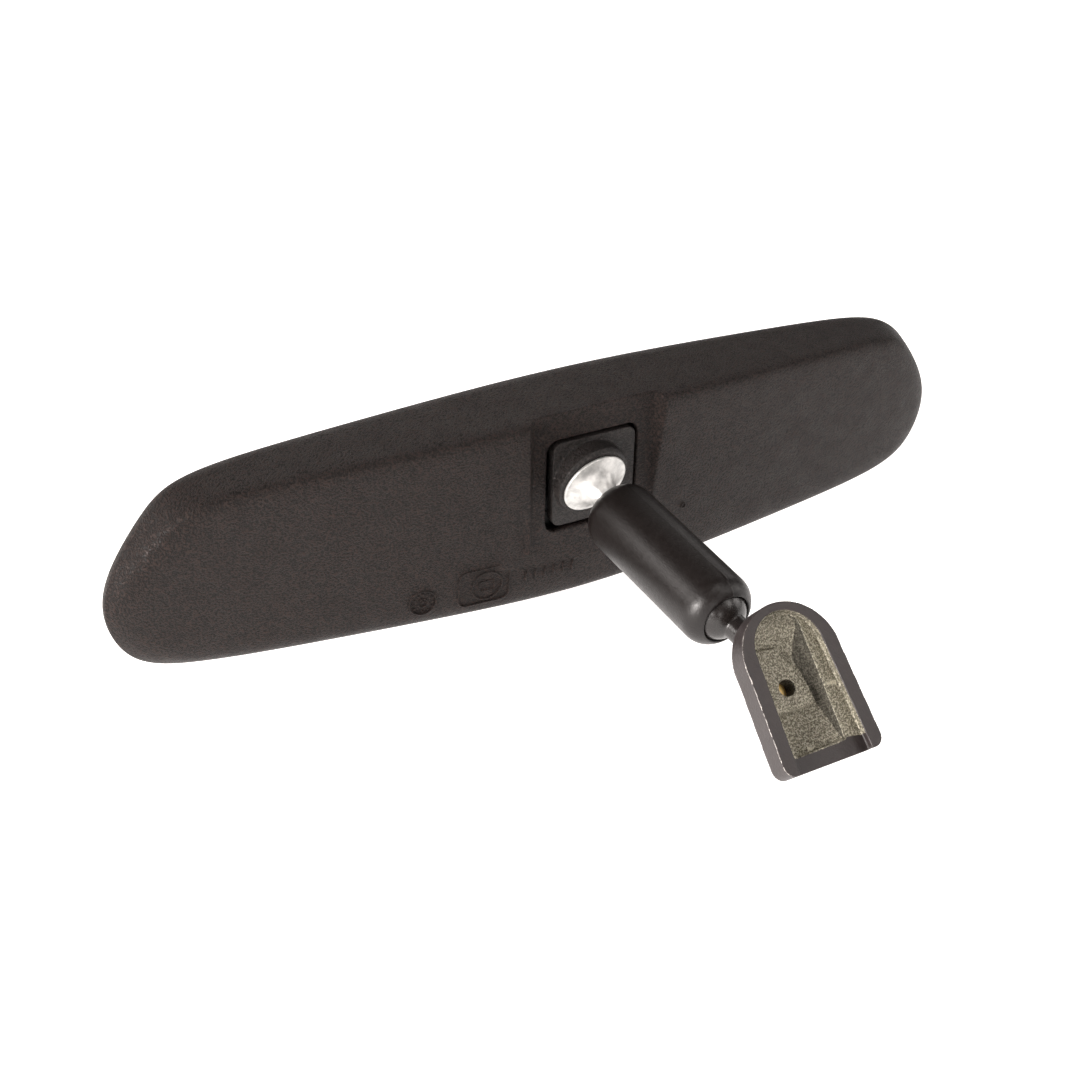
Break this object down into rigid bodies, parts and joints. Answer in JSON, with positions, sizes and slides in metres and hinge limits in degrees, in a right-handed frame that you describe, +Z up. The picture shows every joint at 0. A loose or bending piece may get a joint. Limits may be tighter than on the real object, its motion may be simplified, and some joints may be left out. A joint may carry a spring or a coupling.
{
  "type": "interior rearview mirror",
  "caption": "Day/night rear-view mirror: rounded wedge-glass head on a sprung double-ball arm, with a flip lever and a foot that slides on a windscreen button.",
  "frame": {"origin": "on the floor of the windscreen button channel in the foot, at the centre of its round end, where the button sits", "axes": "+X along the mirror head (to the left of a driver who looks at the glass), +Y from the windscreen towards the driver, +Z up"},
  "size_m": [0.256, 0.1335, 0.0703],
  "materials": {
    "housing_plastic": "fine moulded grain, warm near-black",
    "mirror_glass": "silvered wedge glass",
    "backing_film": "dull backing film",
    "cast_zinc_painted": "satin black paint with bare grey casting in the channel",
    "bright_zinc": "bright plated",
    "tube_paint": "satin black paint",
    "spring_steel": "drawn wire",
    "pin_steel": "ground",
    "clip_steel": "blackened",
    "brass": "machined",
    "acetal": "natural acetal",
    "black_nylon": "glass-filled nylon, fine texture",
    "grey_nylon": "moulded nylon",
    "lever_plastic": "satin black",
    "rubber": "soft rubber",
    "foam": "open-cell foam"
  },
  "bodies": {
    "mount": {"windshield_mount": "cast_zinc_painted", "set_screw": "brass"},
    "mount_cup": {"mount_ball_cup": "acetal"},
    "mount_follower": {"mount_spring_seat": "pin_steel"},
    "arm": {"arm_tube": "tube_paint", "arm_spring": "spring_steel", "head_spring_seat": "pin_steel"},
    "head_cup": {"head_ball_cup": "acetal"},
    "bracket": {"toggle_bracket": "black_nylon", "head_ball_stud": "bright_zinc", "stud_washer": "pin_steel", "hinge_bushes": "acetal"},
    "head": {"housing": "housing_plastic", "mirror_glass": "mirror_glass", "glass_backing": "backing_film", "mechanism_carrier": "grey_nylon", "carrier_screws": "pin_steel", "hinge_pin": "pin_steel", "hinge_clips": "clip_steel", "anti_rattle_foam": "foam", "day_stop_bumpers": "rubber", "detent_spring": "spring_steel", "detent_screw": "pin_steel", "lever_axle": "pin_steel"},
    "lever": {"toggle_lever": "lever_plastic", "link_pin": "pin_steel"}
  },
  "joints": [
    {"name": "arm_yaw", "type": "hinge", "parent": "mount", "child": "mount_cup", "pos_m": [-0.0033, 0.02379, 0.00149], "axis": [0, 0, 1], "range_deg": [-11.3, 24.7]},
    {"name": "arm_pitch", "type": "hinge", "parent": "mount_cup", "child": "mount_follower", "pos_m": [-0.0033, 0.02379, 0.00149], "axis": [1, 0, 0], "range_deg": [-12.1, 23.9]},
    {"name": "arm_spin", "type": "hinge", "parent": "mount_follower", "child": "arm", "pos_m": [-0.0033, 0.02379, 0.00149], "axis": [-0.0312, 0.9931, 0.1132], "continuous": true},
    {"name": "head_pan", "type": "hinge", "parent": "arm", "child": "head_cup", "pos_m": [-0.0046, 0.0651, 0.0062], "axis": [0, 0, 1], "range_deg": [-19, 16.9]},
    {"name": "head_tilt", "type": "hinge", "parent": "head_cup", "child": "bracket", "pos_m": [-0.0046, 0.0651, 0.0062], "axis": [1, 0, 0], "range_deg": [-29.5, 6.4]},
    {"name": "day_night_tilt", "type": "hinge", "parent": "bracket", "child": "head", "pos_m": [-0.0035, 0.0869, 0.0247], "axis": [-1, 0, 0], "range_deg": [0, 4.2]},
    {"name": "toggle_flip", "type": "hinge", "parent": "head", "child": "lever", "pos_m": [-0.0035, 0.092, -0.0235], "axis": [-1, 0, 0], "range_deg": [0, 40.2]}
  ],
  "couplings": [
    {"joint": "toggle_flip", "follows": "day_night_tilt", "ratio": 9.5238}
  ]
}
